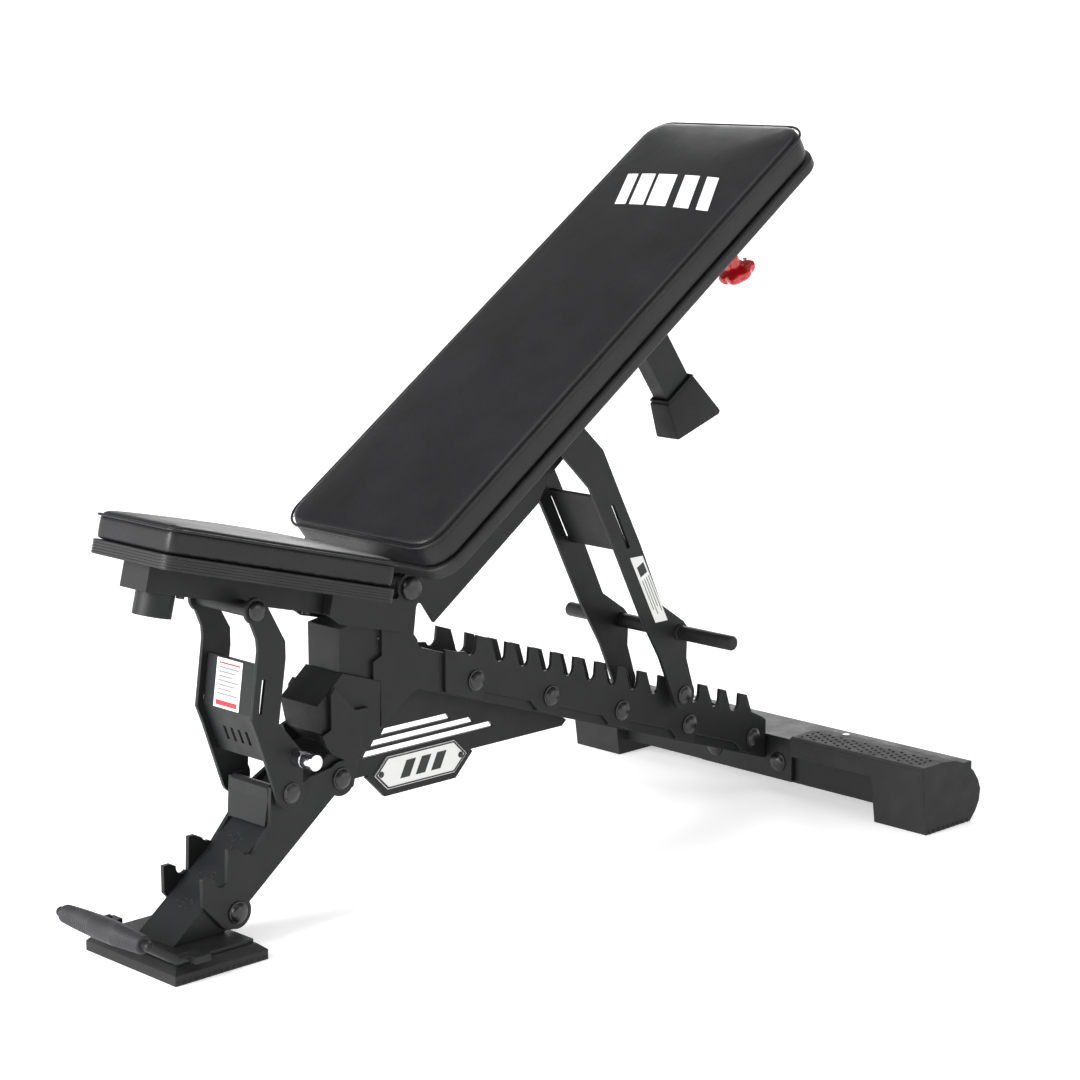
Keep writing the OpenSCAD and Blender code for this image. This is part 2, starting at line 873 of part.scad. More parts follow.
// Rubber cap: a flared block, its lower face cut to the slope of the beam
module bumper_cap() {
  low = board_p - bumper_reach;
  color("#2a2a2a") back_pose() difference() {
    intersection() {
      slab(-40, 80) polygon([
        [bumper_s - 33, cap_top_p], [bumper_s + 30, cap_top_p],
        [bumper_s + 41, low - 6], [bumper_s + 36, low - 9],
        [bumper_s - 46, low + 14], [bumper_s - 44, low + 20]
      ]);
      rotate([90, 0, 90]) translate([0, 0, bumper_s - 60]) linear_extrude(120)
        polygon([[-17, cap_top_p], [17, cap_top_p], [25, -230], [-25, -230]]);
    }
    span([bumper_s - bumper_half_s, -bumper_half_y, cap_top_p - 40],
      [bumper_s + bumper_half_s, bumper_half_y, 0]);
  }
}

// ---- Pull pin ----

module pin_housing() {
  color("#222222") back_pose() translate([knob_s, 0, 0]) difference() {
    union() {
      translate([0, 0, back_tube_low_p - 16]) cylinder(r = 13, h = 16);
      translate([0, 0, back_tube_low_p]) cylinder(r = 9, h = 3);
    }
    translate([0, 0, back_tube_low_p - 20]) cylinder(r = 5.05, h = 40);
    translate([0, 0, back_tube_low_p - 12]) cylinder(r = 8.5, h = 10);
  }
}

module pull_shaft() {
  color("silver") back_pose() translate([knob_s, 0, knob_p + 4])
    cylinder(r = 5, h = back_tube_low_p + 14 - knob_p - 4);
}

// Lobed mushroom knob, drawn about its own axis with the grip side down
module pull_knob() {
  lobes = 7;
  color("red") back_pose() translate([knob_s, 0, knob_p]) difference() {
    union() {
      rotate_extrude() polygon([
        [0, -14], [14, -13], [22, -9], [24, -3], [22, 3], [15, 8], [11, 12], [10, 24], [0, 24]
      ]);
      for (i = [0:lobes - 1]) rotate([0, 0, i * 360 / lobes])
        translate([knob_r - 8, 0, -8.2]) cylinder(r = 8, h = 10);
    }
    translate([0, 0, 4]) cylinder(r = 5, h = 40);
  }
}

// Coil of the pull pin's return spring, drawn at rest between the housing's ends
module pin_spring() {
  turns = 5;
  steps = 12;
  sides = 6;
  wire = 0.7;
  coil_r = 6.9;
  low = back_tube_low_p - 11;
  rise = 7.6;
  count = turns * steps;
  points = [for (i = [0:count]) for (k = [0:sides - 1]) let (
      a = i * 360 / steps,
      b = k * 360 / sides,
      r = coil_r + wire * cos(b)
    ) [r * cos(a), r * sin(a), low + rise * i / count + wire * sin(b)]];
  sheets = [for (i = [0:count - 1]) for (k = [0:sides - 1]) let (k2 = (k + 1) % sides)
    [i * sides + k, i * sides + k2, (i + 1) * sides + k2, (i + 1) * sides + k]];
  ends = [
    [for (k = [sides - 1:-1:0]) k],
    [for (k = [0:sides - 1]) count * sides + k]
  ];
  color("silver") back_pose() translate([knob_s, 0, 0])
    polyhedron(points = points, faces = concat(sheets, ends));
}

// ---- Back strut ----

module back_strut_shape() {
  difference() {
    union() {
      translate(back_strut_top) circle(r = 25);
      translate(back_pin) circle(r = 20);
      polygon([
        back_strut_top + [-18, -17], [130, 486], [163, 426], [225, 304], [264, 239],
        back_pin + [-18, -8], back_pin + [17, 10], [316, 230], [317, 256], [317, 274],
        [309, 283], [267, 311], [225, 399], [191, 463], [154, 534],
        back_strut_top + [18, 17]
      ]);
    }
    translate(back_strut_top) circle(r = strut_axle_r);
    translate(back_pin) circle(r = bolt_r);
    translate(back_bar) circle(r = rod_r);
    // Narrow slot that the web's tab fits
    polygon([[168, 458], [174, 460], [205, 399], [199, 397]]);
  }
}

module back_strut_left() {
  color("#3a3a3a") slab(back_strut_y, strut_t) back_strut_shape();
}

module back_strut_right() {
  color("#3a3a3a") slab(-back_strut_y - strut_t, strut_t) back_strut_shape();
}

module back_strut_web() {
  color("#3a3a3a") slab(-back_strut_y, 2 * back_strut_y)
    polygon([[164, 467], [168.2, 469.2], [208.2, 393.2], [204, 391]]);
}

module back_strut_bar() {
  half = 154;
  color("#2a2a2a") y_rod(back_bar, rod_r, -half, half);
}

module back_strut_pins() {
  stub = back_strut_y - ladder_y - plate_t - cap_h - clear;
  color("#111111") for (side = [-1, 1])
    translate([back_pin[0], side * (back_strut_y - stub), back_pin[1]])
      rotate([-90 * side, 0, 0]) union() {
        cylinder(r = pin_r, h = stub);
        cylinder(r = bolt_r, h = stub + strut_t);
        translate([0, 0, stub + strut_t]) dome(11, 6);
      }
}

module back_strut_axle() {
  y_out = back_strut_y + strut_t;
  color("#111111") union() {
    y_rod(back_strut_top, strut_axle_r, -y_out, y_out);
    domes_at(back_strut_top, y_out, 12, 6);
  }
}

module back_strut_label() {
  color("white") slab(-back_strut_y - strut_t - 0.6, 0.6)
    polygon([[204.5, 384], [228, 384], [277.5, 289], [254, 289]]);
}

front_foot_pad();
front_foot_plate();
handle_loop();
handle_grip();
leg_tube();
leg_plates();
leg_shield();
leg_bolts();
post_tube();
gusset_plates();
hinge_axle();
hinge_bushes();
beam_tube();
ladder_plates();
ladder_teeth_left();
ladder_teeth_right();
ladder_bolts();
web_plate();
name_plate();
name_plate_rivets();
rear_bracket();
rear_bracket_bolts();
rear_crossbar();
rear_foot_left();
rear_foot_right();
rear_foot_screws();
seat_tube();
seat_tube_cap();
accessory_socket();
seat_hinge_plates();
seat_pivot_tube();
seat_band();
seat_cushion();
seat_screws();
seat_strut_left();
seat_strut_right();
seat_strut_web();
seat_strut_rod();
seat_strut_pins();
seat_strut_axle();
seat_strut_label();
back_tube();
back_hinge_plates();
back_pivot_tube();
back_board();
back_cushion();
back_screws();
bumper_post();
bumper_cap();
pin_housing();
pull_knob();
pull_shaft();
pin_spring();
back_strut_left();
back_strut_right();
back_strut_web();
back_strut_bar();
back_strut_pins();
back_strut_axle();
back_strut_label();
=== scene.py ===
import json
import math

import bmesh
import bpy
from mathutils import Matrix, Vector
from mathutils.bvhtree import BVHTree
from mathutils.kdtree import KDTree


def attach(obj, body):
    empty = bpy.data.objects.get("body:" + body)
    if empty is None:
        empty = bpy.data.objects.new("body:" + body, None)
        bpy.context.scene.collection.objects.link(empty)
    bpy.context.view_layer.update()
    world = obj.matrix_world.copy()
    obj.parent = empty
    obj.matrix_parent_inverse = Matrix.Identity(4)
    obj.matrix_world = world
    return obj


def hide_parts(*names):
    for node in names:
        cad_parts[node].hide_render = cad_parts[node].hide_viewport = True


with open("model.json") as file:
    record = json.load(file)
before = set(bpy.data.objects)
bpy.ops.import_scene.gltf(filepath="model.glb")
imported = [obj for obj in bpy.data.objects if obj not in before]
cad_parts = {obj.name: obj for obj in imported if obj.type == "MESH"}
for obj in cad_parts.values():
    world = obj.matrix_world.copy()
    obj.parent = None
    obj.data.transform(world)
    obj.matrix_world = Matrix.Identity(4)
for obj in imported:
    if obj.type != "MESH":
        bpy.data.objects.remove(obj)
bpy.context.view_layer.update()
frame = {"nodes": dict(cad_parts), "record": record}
NODES = frame["nodes"]

MM = 0.001
BACK_ANGLE = 35
SEAT_ANGLE = 14.3
HINGE = Vector((-0.165, 0, 0.396))
BACK = Matrix.Translation(HINGE) @ Matrix.Rotation(math.radians(-BACK_ANGLE), 4, "Y")
SEAT = Matrix.Translation(HINGE) @ Matrix.Rotation(math.radians(SEAT_ANGLE), 4, "Y")


# ---- camera, floor and light ----

def set_camera():
    azimuth, pitch, roll = (math.radians(a) for a in (-44.21, 10.88, -0.172))
    back = Vector((math.sin(azimuth) * math.cos(pitch),
                   -math.cos(azimuth) * math.cos(pitch), math.sin(pitch)))
    right = (-back).cross(Vector((0, 0, 1))).normalized()
    up = back.cross(right)
    right, up = (right * math.cos(roll) + up * math.sin(roll),
                 up * math.cos(roll) - right * math.sin(roll))
    data = bpy.data.cameras.new("camera")
    data.sensor_width = 36
    data.lens = 88.46
    data.clip_start, data.clip_end = 0.05, 60
    cam = bpy.data.objects.new("camera", data)
    bpy.context.scene.collection.objects.link(cam)
    turn = Matrix((right, up, back)).transposed().to_4x4()
    cam.matrix_world = Matrix.Translation((-2.27145, -2.43333, 1.06779)) @ turn
    bpy.context.scene.camera = cam


def area_light(name, place, aim, size, power, tint=(1, 1, 1)):
    data = bpy.data.lights.new(name, "AREA")
    data.shape = "RECTANGLE"
    data.size, data.size_y = size
    data.energy = power
    data.color = tint
    light = bpy.data.objects.new(name, data)
    bpy.context.scene.collection.objects.link(light)
    light.location = place
    light.rotation_mode = "QUATERNION"
    light.rotation_quaternion = (Vector(aim) - Vector(place)).to_track_quat("-Z", "Y")


def set_stage():
    bpy.context.scene.view_settings.view_transform = "Standard"
    world = bpy.data.worlds.new("world")
    world.use_nodes = True
    sky = world.node_tree.nodes["Background"]
    sky.inputs["Color"].default_value = (1, 1, 1, 1)
    sky.inputs["Strength"].default_value = 0.24
    bpy.context.scene.world = world
    middle = (0, 0, 0.4)
    area_light("key", (-3.6, 0.5, 1.9), middle, (2.2, 2.0), 230)
    area_light("side", (1.6, -3.8, 1.7), middle, (2.2, 1.6), 16)
    area_light("top", (-0.4, -0.4, 3.6), middle, (2.6, 2.6), 40)
    area_light("rear", (2.8, 2.2, 2.2), middle, (1.6, 1.6), 40)
    flat, rise, count = 12.0, 5, 48
    rings = [(0.0, 0.0), (flat / 2, 0.0), (flat, 0.0)]
    rings += [(flat + rise * math.sin(a), rise - rise * math.cos(a))
              for a in (math.pi / 2 * i / 8 for i in range(1, 9))]
    verts = [(r * math.cos(math.tau * k / count), r * math.sin(math.tau * k / count), z)
             for r, z in rings for k in range(count)]
    faces = [(i * count + k, i * count + (k + 1) % count, (i + 1) * count + (k + 1) % count,
              (i + 1) * count + k) for i in range(len(rings) - 1) for k in range(count)]
    mesh = bpy.data.meshes.new("floor")
    mesh.from_pydata(verts, [], faces)
    mesh.materials.append(FLOOR)
    mesh.shade_smooth()
    floor = bpy.data.objects.new("floor", mesh)
    floor.location.z = -0.0004
    bpy.context.scene.collection.objects.link(floor)


# ---- materials ----

class Shader:
    """A Principled material and short ways to add nodes to it."""

    def __init__(self, name, color, rough, metal=0.0, **sockets):
        self.material = bpy.data.materials.new(name)
        self.material.use_nodes = True
        self.tree = self.material.node_tree
        self.bsdf = self.tree.nodes["Principled BSDF"]
        self.bsdf.inputs["Base Color"].default_value = (*color, 1)
        self.bsdf.inputs["Roughness"].default_value = rough
        self.bsdf.inputs["Metallic"].default_value = metal
        for key, value in sockets.items():
            self.bsdf.inputs[key.replace("_", " ")].default_value = value
        self.coords = self.tree.nodes.new("ShaderNodeTexCoord").outputs["Object"]

    def node(self, kind, **inputs):
        made = self.tree.nodes.new("ShaderNode" + kind)
        for key, value in inputs.items():
            socket = made.inputs[key.replace("_", " ")]
            if isinstance(value, bpy.types.NodeSocket):
                self.tree.links.new(value, socket)
            else:
                socket.default_value = value
        return made

    def noise(self, scale, detail=4.0, rough=0.55, stretch=None):
        place = self.coords
        if stretch:
            place = self.node("Mapping", Vector=self.coords, Scale=stretch).outputs[0]
        return self.node("TexNoise", Vector=place, Scale=scale, Detail=detail,
                         Roughness=rough).outputs["Fac"]

    def cells(self, scale, feature="F1"):
        made = self.node("TexVoronoi", Vector=self.coords, Scale=scale)
        made.feature = feature
        return made.outputs["Distance"]

    def spread(self, fac, low, high, to_low, to_high):
        return self.node("MapRange", Value=fac, From_Min=low, From_Max=high,
                         To_Min=to_low, To_Max=to_high).outputs[0]

    def blend(self, fac, first, second):
        made = self.tree.nodes.new("ShaderNodeMix")
        made.data_type = "RGBA"
        for socket, value in ((made.inputs["Factor"], fac), (made.inputs[6], first),
                              (made.inputs[7], second)):
            if isinstance(value, bpy.types.NodeSocket):
                self.tree.links.new(value, socket)
            else:
                socket.default_value = value if isinstance(value, float) else (*value, 1)
        return made.outputs[2]

    def set(self, **inputs):
        for key, value in inputs.items():
            self.tree.links.new(value, self.bsdf.inputs[key.replace("_", " ")])

    def bump(self, height, strength, distance, normal=None):
        made = self.node("Bump", Height=height, Strength=strength, Distance=distance)
        if normal is not None:
            self.tree.links.new(normal, made.inputs["Normal"])
        return made.outputs[0]

    def soft_edges(self, radius):
        made = self.node("Bevel", Radius=radius)
        made.samples = 4
        return made.outputs[0]

    # Mask of the rounded edges, used for wear and for a painted edge highlight.
    def edge_wear_and_highlight(self, rounded):
        flat = self.tree.nodes.new("ShaderNodeNewGeometry").outputs["Normal"]
        dot = self.tree.nodes.new("ShaderNodeVectorMath")
        dot.operation = "DOT_PRODUCT"
        self.tree.links.new(rounded, dot.inputs[0])
        self.tree.links.new(flat, dot.inputs[1])
        return self.spread(dot.outputs["Value"], 0.97, 0.80, 0.0, 1.0)


def powder_coat(name, color, worn_and_highlit):
    s = Shader(name, color, 0.42, Specular_IOR_Level=0.24)
    rounded = s.soft_edges(0.0016)
    broad = s.noise(7.0, 3.0)
    grit = s.noise(1500.0, 2.0)
    # Edges lightened in patches: partly wear, partly a painted highlight where light catches the
    # rounded edges.
    wear_and_highlight = s.edge_wear_and_highlight(rounded)
    patchy_wear_and_highlight = s.node("Math", Value=wear_and_highlight)
    patchy_wear_and_highlight.operation = "MULTIPLY"
    s.tree.links.new(s.spread(s.noise(55.0), 0.45, 0.7, 0.15, 0.9), patchy_wear_and_highlight.inputs[1])
    tone = s.blend(s.spread(broad, 0.3, 0.7, 0.0, 1.0), tuple(c * 0.86 for c in color),
                   tuple(c * 1.12 for c in color))
    s.set(Base_Color=s.blend(patchy_wear_and_highlight.outputs[0], tone, worn_and_highlit),
          Roughness=s.spread(s.noise(38.0), 0.3, 0.7, 0.36, 0.5),
          Normal=s.bump(grit, 0.28, 0.00035, rounded))
    return s.material


def rubber(name, color, rough, grain=900.0, depth=0.00025):
    s = Shader(name, color, rough, Specular_IOR_Level=0.22)
    rounded = s.soft_edges(0.0018)
    dust = s.spread(s.noise(30.0, 6.0), 0.5, 0.75, 0.0, 1.0)
    s.set(Base_Color=s.blend(dust, color, tuple(c * 1.6 for c in color)),
          Roughness=s.spread(s.noise(60.0), 0.3, 0.7, rough - 0.07, rough + 0.07),
          Normal=s.bump(s.noise(grain, 3.0), 0.3, depth, rounded))
    return s.material


def leather(name, color, rough, cell=520.0):
    s = Shader(name, color, rough, Specular_IOR_Level=0.30)
    pebbles = s.cells(cell, "SMOOTH_F1")
    cracks = s.cells(cell * 0.55, "DISTANCE_TO_EDGE")
    fine = s.noise(1400.0, 2.0)
    folds = s.noise(16.0, 3.0, 0.5, (1.0, 2.2, 1.0))
    grain = s.bump(pebbles, 0.45, 0.00035)
    grain = s.bump(s.spread(cracks, 0.0, 0.06, 0.0, 1.0), 0.22, 0.0002, grain)
    grain = s.bump(fine, 0.12, 0.0002, grain)
    grain = s.bump(folds, 0.10, 0.004, grain)
    tone = s.spread(s.noise(9.0, 5.0), 0.3, 0.7, 0.0, 1.0)
    s.set(Base_Color=s.blend(tone, tuple(c * 0.8 for c in color),
                             tuple(c * 1.25 for c in color)),
          Roughness=s.spread(s.noise(24.0, 4.0), 0.3, 0.7, rough - 0.05, rough + 0.07),
          Normal=grain)
    return s.material


def polished(name, color, rough, scratch=(1.0, 60.0, 1.0)):
    s = Shader(name, color, rough, 1.0)
    lines = s.noise(120.0, 4.0, 0.6, scratch)
    s.set(Roughness=s.spread(lines, 0.3, 0.7, rough * 0.7, rough * 1.6),
          Normal=s.bump(lines, 0.06, 0.0002, s.soft_edges(0.0008)))
    return s.material


def gloss(name, color, rough, coat=0.4):
    s = Shader(name, color, rough, Coat_Weight=coat, Coat_Roughness=0.08)
    s.set(Roughness=s.spread(s.noise(45.0), 0.3, 0.7, rough * 0.8, rough * 1.3),
          Base_Color=s.blend(s.spread(s.noise(20.0), 0.3, 0.7, 0.0, 1.0),
                             tuple(c * 0.88 for c in color), color),
          Normal=s.bump(s.noise(260.0), 0.05, 0.0002, s.soft_edges(0.0012)))
    return s.material


def film(name, color, rough):
    s = Shader(name, color, rough)
    grime = s.spread(s.noise(90.0, 6.0), 0.55, 0.8, 0.0, 0.35)
    s.set(Base_Color=s.blend(grime, color, tuple(c * 0.8 for c in color)),
          Roughness=s.spread(s.noise(150.0), 0.3, 0.7, rough - 0.06, rough + 0.08),
          Normal=s.bump(s.noise(700.0), 0.08, 0.0001))
    return s.material


def floor_with_painted_shade():
    s = Shader("floor", (0.90, 0.90, 0.90), 0.6, Emission_Color=(1, 1, 1, 1))
    far = s.tree.nodes.new("ShaderNodeVectorMath")
    far.operation = "LENGTH"
    s.tree.links.new(s.coords, far.inputs[0])
    # The floor glows, dimmer near the bench and brighter far out: painted shade for the bench's
    # shadow on a white floor.
    s.set(Roughness=s.spread(s.noise(3.0), 0.3, 0.7, 0.55, 0.65),
          Emission_Strength=s.spread(far.outputs["Value"], 1.5, 5.5, 0.42, 0.88))
    return s.material


FLOOR = floor_with_painted_shade()
STEEL = powder_coat("steel_powder_coat", (0.0115, 0.0118, 0.0125), (0.050, 0.050, 0.052))
SHELL = leather("board_cover", (0.016, 0.016, 0.017), 0.42, 700.0)
LEATHER = leather("pad_leather", (0.0105, 0.0105, 0.0115), 0.36)
PIPING = leather("piping_leather", (0.012, 0.012, 0.013), 0.33, 900.0)
THREAD = rubber("stitch_thread", (0.022, 0.022, 0.024), 0.6, 2500.0)
RUBBER = rubber("foot_rubber", (0.017, 0.017, 0.018), 0.58)
# Studs darker than the foot rubber: painted shade standing in for the dark of recessed anti-slip
# dots.
STUD_RUBBER_PAINTED_SHADE = rubber("stud_rubber_painted_shade", (0.009, 0.009, 0.010), 0.6)
GRIP = rubber("grip_rubber", (0.028, 0.028, 0.030), 0.52, 1300.0)
BAR = rubber("bar_sleeve", (0.014, 0.014, 0.015), 0.45, 1500.0)
BOLT = gloss("bolt_cap", (0.007, 0.007, 0.008), 0.30, 0.12)
PLASTIC = rubber("moulded_plastic", (0.018, 0.018, 0.019), 0.40, 1800.0, 0.0001)
RED = gloss("knob_red", (0.62, 0.006, 0.010), 0.16, 0.7)
CHROME = polished("chrome", (0.78, 0.78, 0.80), 0.10)
ZINC = polished("zinc", (0.55, 0.55, 0.56), 0.28)
WHITE = film("white_film", (0.80, 0.80, 0.79), 0.42)
PRINT = film("pad_print", (0.86, 0.86, 0.85), 0.38)
GREY_INK = film("grey_ink", (0.20, 0.20, 0.21), 0.5)
BLACK_INK = film("black_ink", (0.012, 0.012, 0.013), 0.5)
RED_INK = film("red_ink", (0.55, 0.02, 0.03), 0.5)


# ---- mesh helpers ----

def new_object(name, mesh, material, place=None, smooth=True):
    mesh.materials.append(material)
    if place is not None:
        mesh.transform(place)
    if smooth:
        mesh.shade_smooth()
    mesh.update()
    made = bpy.data.objects.new(name, mesh)
    bpy.context.scene.collection.objects.link(made)
    return made


def mesh_from(name, verts, faces):
    mesh = bpy.data.meshes.new(name)
    mesh.from_pydata([tuple(v) for v in verts], [], faces)
    b = bmesh.new()
    b.from_mesh(mesh)
    bmesh.ops.recalc_face_normals(b, faces=b.faces)
    b.to_mesh(mesh)
    b.free()
    return mesh


def add_bevel(made, width, segments=2, angle=35):
    bevel = made.modifiers.new("bevel", "BEVEL")
    bevel.width = width
    bevel.segments = segments
    bevel.limit_method = "ANGLE"
    bevel.angle_limit = math.radians(angle)
    bevel.harden_normals = False
    return made


def finish_piece(made, body, slot, *nodes):
    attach(made, body)
    if nodes:
        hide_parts(*nodes)
    return made


def join_meshes(name, parts):
    """One mesh from (verts, faces) pairs."""
    verts, faces = [], []
    for part_verts, part_faces in parts:
        start = len(verts)
        verts += part_verts
        faces += [tuple(i + start for i in face) for face in part_faces]
    return mesh_from(name, verts, faces)


def turned_faces(rings, count):
    """Faces between rings of count points each, with both ends closed."""
    faces = []
    for i in range(rings - 1):
        for k in range(count):
            n = (k + 1) % count
            faces.append((i * count + k, i * count + n, (i + 1) * count + n,
                          (i + 1) * count + k))
    faces.append(tuple(reversed(range(count))))
    faces.append(tuple((rings - 1) * count + k for k in range(count)))
    return faces


def lathe(profile, place, count=40):
    """(verts, faces) of (radius, height) points turned about place's Z axis, closed at both ends."""
    verts = []
    for r, h in profile:
        for k in range(count):
            a = 2 * math.pi * k / count
            verts.append(place @ Vector((r * math.cos(a), r * math.sin(a), h)))
    return verts, turned_faces(len(profile), count)


def prism(points, y_low, y_high):
    """(verts, faces) of an (x, z) outline given thickness along Y."""
    n = len(points)
    verts = [Vector((x, y_low, z)) for x, z in points]
    verts += [Vector((x, y_high, z)) for x, z in points]
    faces = [tuple(range(n)), tuple(reversed(range(n, 2 * n)))]
    faces += [(i, i + n, (i + 1) % n + n, (i + 1) % n) for i in range(n)]
    return verts, faces


def tube(path, radius, count=10, closed=True, swell=None):
    """(verts, faces) of a round tube along points; swell(i) scales the radius."""
    verts, faces = [], []
    n = len(path)
    side = None
    for i, p in enumerate(path):
        ahead = path[(i + 1) % n] if closed or i < n - 1 else p
        behind = path[i - 1] if closed or i > 0 else p
        along = (ahead - behind).normalized()
        if side is None:
            side = along.orthogonal().normalized()
        side = (side - along * side.dot(along)).normalized()
        other = along.cross(side)
        r = radius * (swell(i) if swell else 1)
        for k in range(count):
            a = 2 * math.pi * k / count
            verts.append(p + (side * math.cos(a) + other * math.sin(a)) * r)
    for i in range(n if closed else n - 1):
        j = (i + 1) % n
        for k in range(count):
            m = (k + 1) % count
            faces.append((i * count + k, i * count + m, j * count + m, j * count + k))
    if not closed:
        faces.append(tuple(reversed(range(count))))
        faces.append(tuple((n - 1) * count + k for k in range(count)))
    return verts, faces


# ---- padded outlines ----

def trapezium(length, w0, w1, r, start=0.0, step=0.006):
    """Evenly spaced points and outward normals round a rounded trapezium, in metres."""
    centres = [(start + r, -(w0 / 2 - r)), (start + length - r, -(w1 / 2 - r)),
               (start + length - r, w1 / 2 - r), (start + r, w0 / 2 - r)]
    lean = math.atan2((w1 - w0) / 2, length - 2 * r)
    bounds = [(math.pi, 1.5 * math.pi + lean), (1.5 * math.pi + lean, 2 * math.pi),
              (0.0, 0.5 * math.pi - lean), (0.5 * math.pi - lean, math.pi)]
    raw = []
    for (cx, cy), (a0, a1) in zip(centres, bounds):
        count = max(6, int(abs(a1 - a0) * r / step) * 3)
        for i in range(count + 1):
            a = a0 + (a1 - a0) * i / count
            raw.append((Vector((cx + r * math.cos(a), cy + r * math.sin(a))),
                        Vector((math.cos(a), math.sin(a)))))
    points = []
    for i, (p, n) in enumerate(raw):
        q, m = raw[(i + 1) % len(raw)]
        gap = (q - p).length
        parts = max(1, round(gap / step))
        for j in range(parts):
            t = j / parts
            points.append((p.lerp(q, t), n.lerp(m, t).normalized()))
    return points


def ring_form(outline, profile, inner, crown, centre):
    """(verts, faces) of a closed pad. profile is (inset, height) from the underside's edge to
    the upper crease; inner gives how far the upper rings have gone towards the centre."""
    verts, faces = [], []
    n = len(outline)
    for inset, height in profile:
        for p, normal in outline:
            q = p - normal * inset
            verts.append(Vector((q.x, q.y, height)))
    base = [v.copy() for v in verts[-n:]]
    for t in inner:
        for v in base:
            q = v.lerp(Vector((centre[0], centre[1], v.z)), t)
            q.z = v.z + crown(t)
            verts.append(q)
    rings = len(profile) + len(inner)
    for i in range(rings - 1):
        for k in range(n):
            m = (k + 1) % n
            faces.append((i * n + k, i * n + m, (i + 1) * n + m, (i + 1) * n + k))
    faces.append(tuple(range(n)))
    verts.append(Vector((centre[0], centre[1], base[0].z + crown(1.0))))
    last = (rings - 1) * n
    for k in range(n):
        faces.append((last + k, last + (k + 1) % n, len(verts) - 1))
    return verts, faces


PAD_W = 0.280
SEAT_FRONT_W = 0.156
BACK_OUTLINE = trapezium(0.836, PAD_W, PAD_W, 0.036, -0.010)
SEAT_OUTLINE = trapezium(0.294, SEAT_FRONT_W, PAD_W, 0.016, -0.402)
BACK_CENTRE = (0.408, 0)
SEAT_CENTRE = (-0.262, 0)


def simulate(made, voxel, pressure, cap, crease):
    """Swells a pad as stuffed cloth, each point held within cap of where it started. The seam
    that crease(point) picks out stays put, and so does the underside."""
    remesh = made.modifiers.new("remesh", "REMESH")
    remesh.mode = "VOXEL"
    remesh.voxel_size = voxel
    bpy.context.view_layer.update()
    graph = bpy.context.evaluated_depsgraph_get()
    fine = bpy.data.meshes.new_from_object(made.evaluated_get(graph))
    made.modifiers.clear()
    old, made.data = made.data, fine
    bpy.data.meshes.remove(old)
    start = [v.co.copy() for v in made.data.vertices]
    lowest = min(v.z for v in start)
    pins = made.vertex_groups.new(name="pins")
    held = [i for i, v in enumerate(start) if v.z < lowest + voxel * 1.2 or crease(v)]
    pins.add(held, 1.0, "REPLACE")
    cloth = made.modifiers.new("cloth", "CLOTH")
    cloth.settings.quality = 4
    cloth.settings.mass = 0.3
    cloth.settings.tension_stiffness = 60
    cloth.settings.compression_stiffness = 40
    cloth.settings.shear_stiffness = 25
    cloth.settings.bending_stiffness = 8
    cloth.settings.use_pressure = True
    cloth.settings.uniform_pressure_force = pressure
    cloth.settings.vertex_group_mass = "pins"
    cloth.settings.effector_weights.gravity = 0
    cloth.collision_settings.use_collision = False
    scene = bpy.context.scene
    for number in range(1, 21):
        scene.frame_set(number)
    graph = bpy.context.evaluated_depsgraph_get()
    swollen = bpy.data.meshes.new_from_object(made.evaluated_get(graph))
    made.modifiers.clear()
    made.vertex_groups.clear()
    for v, before in zip(swollen.vertices, start):
        move = v.co - before
        if move.length > cap:
            v.co = before + move * (cap / move.length)
    old, made.data = made.data, swollen
    bpy.data.meshes.remove(old)
    scene.frame_set(1)


def subdivide_and_apply(made, levels):
    sub = made.modifiers.new("sub", "SUBSURF")
    sub.levels = sub.render_levels = levels
    bpy.context.view_layer.update()
    graph = bpy.context.evaluated_depsgraph_get()
    smooth = bpy.data.meshes.new_from_object(made.evaluated_get(graph))
    made.modifiers.clear()
    old, made.data = made.data, smooth
    bpy.data.meshes.remove(old)


def carve(made, grooves):
    """Pulls the side in along lines of constant height: (height, half width, depth)."""
    mesh = made.data
    mesh.update()
    normals = [v.normal.copy() for v in mesh.vertices]
    for v, normal in zip(mesh.vertices, normals):
        side = Vector((normal.x, normal.y, 0))
        if side.length < 0.3:
            continue
        for height, half, depth in grooves:
            off = abs(v.co.z - height) / half
            if off < 1:
                v.co -= side.normalized() * depth * (1 - off * off) ** 2
    mesh.update()


def make_cushion(name, outline, place, low, high, centre, body, node, span, voxel):
    shrink = 0.0035
    profile = [(0.012, low), (shrink + 0.003, low + 0.0002), (shrink + 0.0008, low + 0.002)]
    for i in range(1, 7):
        t = i / 7
        profile.append((shrink + 0.0012 * (1 - math.sin(math.pi * t)),
                        low + 0.002 + (high - low - 0.008) * t))
    profile += [(shrink + 0.0010, high - 0.0055), (shrink + 0.0022, high - 0.0030),
                (shrink + 0.0046, high - 0.0012), (shrink + 0.0085, high - 0.0003)]
    inner = [0.04, 0.10, 0.18, 0.28, 0.40, 0.54, 0.70, 0.86]

    def crown(t):
        return span * (1 - (1 - t) ** 3)

    verts, faces = ring_form(outline, profile, inner, crown, centre)
    made = new_object(name, mesh_from(name, verts, faces), LEATHER)
    tree = KDTree(len(outline))
    for i, (p, _) in enumerate(outline):
        tree.insert((p.x, p.y, 0), i)
    tree.balance()

    def crease(v):
        if abs(v.z - (high - 0.0055)) > voxel * 0.75:
            return False
        return tree.find((v.x, v.y, 0))[2] < 0.009

    simulate(made, voxel, 4.0, 0.005, crease)
    subdivide_and_apply(made, 1)
    seam = high - 0.0062
    carve(made, [(seam, 0.0026, 0.0016)])
    made.data.transform(place)
    made.data.shade_smooth()
    finish_piece(made, body, "pad_cover", node)
    return made


